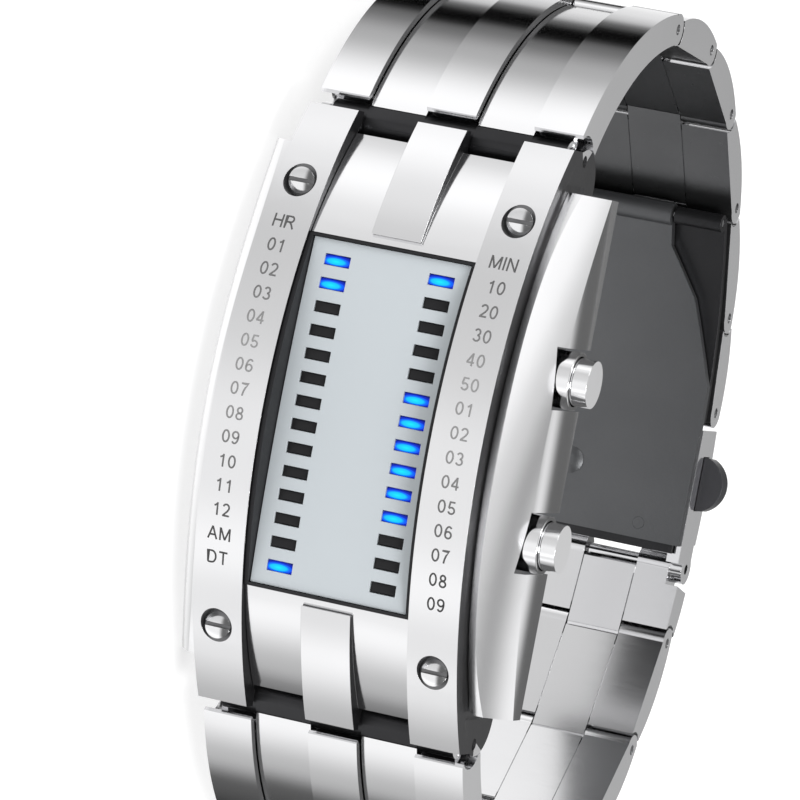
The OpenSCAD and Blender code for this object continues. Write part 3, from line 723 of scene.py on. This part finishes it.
def bow(x, y, wide, high, start, end, steps=14):
    """Points along an ellipse's arc, with angles in degrees."""
    turns = [math.radians(start + (end - start) * k / steps) for k in range(steps + 1)]
    return [(x + wide * math.cos(t), y + high * math.sin(t)) for t in turns]


# Strokes of each sign, on a height of one: its width, then the middle line of each stroke
GLYPHS = {
    "0": (0.62, [bow(0.31, 0.5, 0.245, 0.435, 90, 450, 28)]),
    "1": (0.62, [[(0.38, 0.0), (0.38, 0.97)], [(0.38, 0.9), (0.27, 0.78), (0.13, 0.72)]]),
    "2": (0.62, [bow(0.31, 0.69, 0.235, 0.245, 165, -25) + [(0.42, 0.42), (0.08, 0.065)],
                 [(0.04, 0.065), (0.59, 0.065)]]),
    "3": (0.62, [bow(0.3, 0.715, 0.2, 0.22, 160, -80), bow(0.3, 0.28, 0.24, 0.22, 85, -160)]),
    "4": (0.62, [[(0.43, 0.0), (0.43, 0.97)], [(0.42, 0.93), (0.05, 0.29)],
                 [(0.01, 0.27), (0.6, 0.27)]]),
    "5": (0.62, [[(0.55, 0.93), (0.17, 0.93), (0.1, 0.5)],
                 bow(0.31, 0.3, 0.24, 0.24, 145, -160, 20)]),
    "6": (0.62, [bow(0.32, 0.31, 0.235, 0.25, 90, 450, 24),
                 bow(0.36, 0.42, 0.275, 0.515, 190, 50)]),
    "7": (0.62, [[(0.04, 0.93), (0.57, 0.93), (0.38, 0.62), (0.27, 0.32), (0.22, 0.0)]]),
    "8": (0.62, [bow(0.31, 0.73, 0.19, 0.205, 90, 450, 24),
                 bow(0.31, 0.28, 0.235, 0.22, 90, 450, 24)]),
    "9": (0.62, [bow(0.3, 0.69, 0.235, 0.25, 90, 450, 24),
                 bow(0.26, 0.58, 0.275, 0.515, 10, -130)]),
    "H": (0.78, [[(0.07, 0), (0.07, 1)], [(0.71, 0), (0.71, 1)], [(0.07, 0.53), (0.71, 0.53)]]),
    "R": (0.8, [[(0.07, 0), (0.07, 0.935), (0.42, 0.935)], bow(0.44, 0.72, 0.21, 0.215, 90, -90),
                [(0.44, 0.505), (0.07, 0.505)], [(0.4, 0.48), (0.55, 0.33), (0.74, 0.0)]]),
    "M": (0.9, [[(0.07, 0), (0.07, 0.97)], [(0.09, 0.95), (0.45, 0.06)],
                [(0.45, 0.06), (0.81, 0.95)], [(0.83, 0.97), (0.83, 0)]]),
    "I": (0.16, [[(0.08, 0), (0.08, 1)]]),
    "N": (0.78, [[(0.07, 0), (0.07, 1)], [(0.09, 0.95), (0.69, 0.05)], [(0.71, 0), (0.71, 1)]]),
    "A": (0.8, [[(0.05, 0), (0.4, 0.97)], [(0.4, 0.97), (0.75, 0)], [(0.16, 0.33), (0.64, 0.33)]]),
    "D": (0.76, [[(0.07, 0.065), (0.07, 0.935), (0.36, 0.935)],
                 bow(0.36, 0.5, 0.33, 0.435, 90, -90, 20), [(0.36, 0.065), (0.07, 0.065)]]),
    "T": (0.74, [[(0.37, 0), (0.37, 0.97)], [(0.03, 0.935), (0.71, 0.935)]]),
}


def ribbon(form, points, place):
    """Flat stroke of even width along a line of points."""
    rails = []
    for k, here in enumerate(points):
        before, after = points[max(k - 1, 0)], points[min(k + 1, len(points) - 1)]
        ahead = Vector((after[0] - before[0], after[1] - before[1])).normalized()
        arm = Vector((-ahead.y, ahead.x)) * STROKE / 2
        if 0 < k < len(points) - 1:
            turn = Vector((after[0] - here[0], after[1] - here[1])).normalized()
            arm /= max(turn.dot(ahead), MITRE)
        rails.append([form.verts.new(place(here[0] + side * arm.x, here[1] + side * arm.y))
                      for side in (-1, 1)])
    for (a, b), (c, d) in zip(rails, rails[1:]):
        form.faces.new((a, c, d, b))


def mark(name, text, x, y):
    """One mark, laid onto the rail's arc."""
    widths = [GLYPHS[sign][0] for sign in text]
    start = -(sum(widths) + LETTER_GAP * (len(text) - 1)) / 2
    form = bmesh.new()
    for sign, width in zip(text, widths):
        def place(u, v, start=start):
            """Point of the sign, on the rail."""
            py = y + (v - 0.5) * MARK_H
            return at(x + (start + u) * MARK_H, py, arc_z(py) + MARK_LIFT)

        for stroke in GLYPHS[sign][1]:
            ribbon(form, stroke, place)
        start += width + LETTER_GAP
    mesh = mesh_of(form, name)
    mesh.materials.append(MATERIALS["ink"])
    piece = new_object(name, mesh)
    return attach(piece, "case")


def draw_marks():
    """Number and unit marks along both rails."""
    for side, x, marks in (("left", -RAIL_X, LEFT_MARKS), ("right", RAIL_X, RIGHT_MARKS)):
        for i, text in enumerate(marks):
            mark(f"mark_{side}_{i}", text, x, NUMBER_TOP_Y - i * NUMBER_PITCH)


# Lamp rows that are lit, counted from 12 o'clock
LIT_LEFT = {1, 2, 14}
LIT_RIGHT = {1, 6, 7, 8, 9, 10, 11}

# Glow of a lit window, from its brightest spot outwards, in the window's own box
LAMP_SCALE = (1.25, 0.0, 1.0)
LAMP_SHIFT = (-0.75, 0.0, -0.45)
LAMP_GLOW = [(0.0, (0.0, 0.82, 1.0)), (0.3, (0.0, 0.6, 1.0)), (0.47, (0.0, 0.12, 1.0)),
             (0.62, (0.0, 0.01, 0.5)), (0.85, (0.0, 0.0, 0.12))]
LENS_SHINE = 0.2
LENS_TONE_SCALE = 300.0

# Lens of a window, in millimetres: the gap round it, its drop below the plate's face, its
# crown and its thickness. It has LENS_STEPS faces each way.
LENS_GAP = 0.04
LENS_DROP = 0.2
LENS_CROWN = 0.1
LENS_T = 0.4
LENS_STEPS = 6
LENS_SHARP = 40


def lamp_material(name, lit):
    """Lens of a window, dark or with its lamp's glow."""
    material = bpy.data.materials.new(name)
    material.use_nodes = True
    tree = material.node_tree
    shader = tree.nodes["Principled BSDF"]
    shader.inputs["Roughness"].default_value = 0.3
    shader.inputs["Specular IOR Level"].default_value = LENS_SHINE
    if not lit:
        tone(tree, (0.006, 0.006, 0.007), (0.012, 0.012, 0.013), LENS_TONE_SCALE)
        return material
    shader.inputs["Base Color"].default_value = (0.0, 0.01, 0.05, 1)
    coords = tree.nodes.new("ShaderNodeTexCoord")
    centred = tree.nodes.new("ShaderNodeMapping")
    centred.inputs["Location"].default_value = LAMP_SHIFT
    centred.inputs["Scale"].default_value = LAMP_SCALE
    away = tree.nodes.new("ShaderNodeVectorMath")
    away.operation = "LENGTH"
    ramp = colour_ramp(tree, LAMP_GLOW)
    link_nodes(
        tree,
        (coords.outputs["Generated"], centred.inputs["Vector"]),
        (centred.outputs["Vector"], away.inputs[0]),
        (away.outputs["Value"], ramp.inputs["Fac"]),
        (ramp.outputs["Color"], shader.inputs["Emission Color"]),
    )
    shader.inputs["Emission Strength"].default_value = 1.0
    return material


def lamp_window(name, x, y, material):
    """Small crowned lens that fills one window, a little below the plate's face."""
    wide, high = WINDOW[0] / 2 - LENS_GAP, WINDOW[1] / 2 - LENS_GAP
    form = bmesh.new()
    steps = LENS_STEPS
    rows = []
    for i in range(steps + 1):
        v = -1 + 2 * i / steps
        row = []
        for j in range(steps + 1):
            u = -1 + 2 * j / steps
            crown = LENS_CROWN * (1 - u ** 4) * (1 - v ** 4)
            py = y + v * high
            row.append(form.verts.new(at(x + u * wide, py, plate_z(py) - LENS_DROP + crown)))
        rows.append(row)
    low = [[form.verts.new(v.co + Vector((0, LENS_T * MM, 0))) for v in row] for row in rows]
    for i in range(steps):
        for j in range(steps):
            form.faces.new((rows[i][j], rows[i][j + 1], rows[i + 1][j + 1], rows[i + 1][j]))
            form.faces.new((low[i][j], low[i + 1][j], low[i + 1][j + 1], low[i][j + 1]))
    for i in range(steps):
        form.faces.new((rows[i][0], rows[i + 1][0], low[i + 1][0], low[i][0]))
        form.faces.new((rows[i + 1][steps], rows[i][steps], low[i][steps], low[i + 1][steps]))
        form.faces.new((rows[0][i + 1], rows[0][i], low[0][i], low[0][i + 1]))
        form.faces.new((rows[steps][i], rows[steps][i + 1], low[steps][i + 1], low[steps][i]))
    bmesh.ops.recalc_face_normals(form, faces=form.faces)
    mesh = mesh_of(form, name)
    mesh.polygons.foreach_set("use_smooth", [True] * len(mesh.polygons))
    mesh.set_sharp_from_angle(angle=math.radians(LENS_SHARP))
    mesh.materials.append(material)
    piece = new_object(name, mesh)
    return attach(piece, "case")


def draw_lamps():
    """Lenses of all windows, in two columns."""
    lit_look, dark_look = lamp_material("lamp_lit", True), lamp_material("lamp_dark", False)
    for side, x, lit in (("left", -LED_X, LIT_LEFT), ("right", LED_X, LIT_RIGHT)):
        for i in range(LED_COUNT):
            y = ((LED_COUNT - 1) / 2 - i) * LED_PITCH
            look = lit_look if i + 1 in lit else dark_look
            lamp_window(f"window_{side}_{i + 1}", x, y, look)


# Camera fitted to the photograph: metres in the row frame, degrees, and millimetres of lens
CAMERA_AT = Vector((-0.02207, -0.44985, 0.17488))
CAMERA_AIM = Vector((-0.00275, -0.005, 0.01871))
CAMERA_ROLL = 101.54
CAMERA_LENS = 243.0
SENSOR = 36.0


def make_camera():
    """Camera that sees the watch as the photograph does."""
    data = bpy.data.cameras.new("camera")
    data.lens = CAMERA_LENS
    data.sensor_width = SENSOR
    camera = new_object("camera", data)
    camera.location = CAMERA_AT
    camera.rotation_mode = "QUATERNION"
    aim = (CAMERA_AIM - CAMERA_AT).to_track_quat("-Z", "Y")
    camera.rotation_quaternion = aim @ Quaternion((0, 0, 1), math.radians(CAMERA_ROLL))
    bpy.context.scene.camera = camera


STAGE_R = 1.6


def pale_look(name, colour, glow):
    """Matt surface of the stage, which glows as a lit backdrop does."""
    material = bpy.data.materials.new(name)
    material.use_nodes = True
    shader = material.node_tree.nodes["Principled BSDF"]
    shader.inputs["Base Color"].default_value = (colour, colour, colour, 1)
    shader.inputs["Roughness"].default_value = 1.0
    shader.inputs["Emission Color"].default_value = (1, 1, 1, 1)
    shader.inputs["Emission Strength"].default_value = glow
    return material


def make_stage():
    """Pale floor, and a pale dome over it."""
    bpy.ops.mesh.primitive_circle_add(vertices=96, radius=STAGE_R, fill_type="NGON")
    floor = bpy.context.object
    floor.name = "floor"
    floor.data.materials.append(pale_look("floor_look", 0.5, 0.62))
    floor.visible_glossy = False
    bpy.ops.mesh.primitive_uv_sphere_add(segments=48, ring_count=24, radius=STAGE_R)
    dome = bpy.context.object
    dome.name = "dome"
    dome.data.materials.append(pale_look("dome_look", 0.0, 0.85))
    dome.visible_glossy = False


# Light that metal faces mirror, round the row's Z axis: the turn from -Y towards +X in
# degrees, and the level there. The steep falls draw the dark bands of curved steel.
HORIZON = [
    (-180, 0.9), (-150, 0.68), (-142, 0.55), (-135, 0.1), (-129, 0.0), (-121, 0.0),
    (-115, 0.14), (-100, 0.4), (-75, 0.98), (-60, 0.75), (-45, 0.57), (-20, 0.62), (5, 0.82),
    (25, 0.8), (42, 1.0), (54, 0.72), (66, 0.92), (85, 0.46), (98, 0.09), (120, 0.02),
    (150, 0.3), (180, 0.9),
]
# Levels that faces turned to 3 o'clock mirror, then the softbox overhead, along Y + X
SIDE_LEVEL = 0.11
OVERHEAD = [(-0.6, 1.0), (-0.1, 0.9), (0.25, 0.6), (0.5, 0.3), (0.8, 0.85), (1.2, 1.0)]
OVERHEAD_SPAN = 1.5

# Heights of a mirrored direction between which one level passes into the next
HORIZON_TO_SIDE = (-0.15, 0.1)
SIDE_TO_OVERHEAD = (0.45, 0.8)
WORLD_STRENGTH = 1.3


def blend(tree, heights, first, second):
    """Passes from one colour to another between two heights of the direction."""
    height = tree.nodes.new("ShaderNodeMapRange")
    height.interpolation_type = "SMOOTHSTEP"
    height.inputs["From Min"].default_value = heights[0]
    height.inputs["From Max"].default_value = heights[1]
    mix = tree.nodes.new("ShaderNodeMixRGB")
    link_nodes(
        tree,
        (tree.nodes["Separate XYZ"].outputs["Z"], height.inputs["Value"]),
        (height.outputs["Result"], mix.inputs["Fac"]),
        (first, mix.inputs["Color1"]),
    )
    if isinstance(second, float):
        mix.inputs["Color2"].default_value = (second, second, second, 1)
    else:
        tree.links.new(second, mix.inputs["Color2"])
    return mix.outputs["Color"]


def make_world():
    """Light levels all round, which the steel mirrors."""
    world = bpy.data.worlds.new("studio")
    bpy.context.scene.world = world
    world.use_nodes = True
    tree = world.node_tree
    background = tree.nodes["Background"]
    coords = tree.nodes.new("ShaderNodeTexCoord")
    turn = tree.nodes.new("ShaderNodeMapping")
    turn.inputs["Rotation"].default_value = (0, 0, math.radians(90))
    round_about = tree.nodes.new("ShaderNodeTexGradient")
    round_about.gradient_type = "RADIAL"
    horizon = grey_ramp(tree, HORIZON, -180, 180)
    split = tree.nodes.new("ShaderNodeSeparateXYZ")
    across = tree.nodes.new("ShaderNodeMath")
    across.operation = "ADD"
    spread = tree.nodes.new("ShaderNodeMapRange")
    spread.inputs["From Min"].default_value = -OVERHEAD_SPAN
    spread.inputs["From Max"].default_value = OVERHEAD_SPAN
    softbox = grey_ramp(tree, OVERHEAD, -OVERHEAD_SPAN, OVERHEAD_SPAN)
    link_nodes(
        tree,
        (coords.outputs["Generated"], turn.inputs["Vector"]),
        (turn.outputs["Vector"], round_about.inputs["Vector"]),
        (round_about.outputs["Fac"], horizon.inputs["Fac"]),
        (coords.outputs["Generated"], split.inputs["Vector"]),
        (split.outputs["X"], across.inputs[0]),
        (split.outputs["Y"], across.inputs[1]),
        (across.outputs["Value"], spread.inputs["Value"]),
        (spread.outputs["Result"], softbox.inputs["Fac"]),
    )
    low = blend(tree, HORIZON_TO_SIDE, horizon.outputs["Color"], SIDE_LEVEL)
    whole = blend(tree, SIDE_TO_OVERHEAD, low, softbox.outputs["Color"])
    tree.links.new(whole, background.inputs["Color"])
    background.inputs["Strength"].default_value = WORLD_STRENGTH


def area_light(name, place, target, size, power):
    """Square light that faces a target, in metres and watts."""
    data = bpy.data.lights.new(name, "AREA")
    data.size = size
    data.energy = power
    light = new_object(name, data)
    light.location = place
    aim = Vector(target) - Vector(place)
    light.rotation_euler = aim.to_track_quat("-Z", "Y").to_euler()


def make_lights():
    """Two soft lights before the watch."""
    area_light("key", (0.25, -0.5, 0.6), (0, 0, 0.02), 0.3, 4.0)
    area_light("fill", (-0.5, -0.3, 0.4), (0, 0.02, 0.02), 0.3, 1.5)


bpy.context.scene.view_settings.view_transform = "Standard"
make_camera()
make_stage()
make_world()
make_lights()
dress_all()
draw_blade_lip()
draw_marks()
draw_lamps()
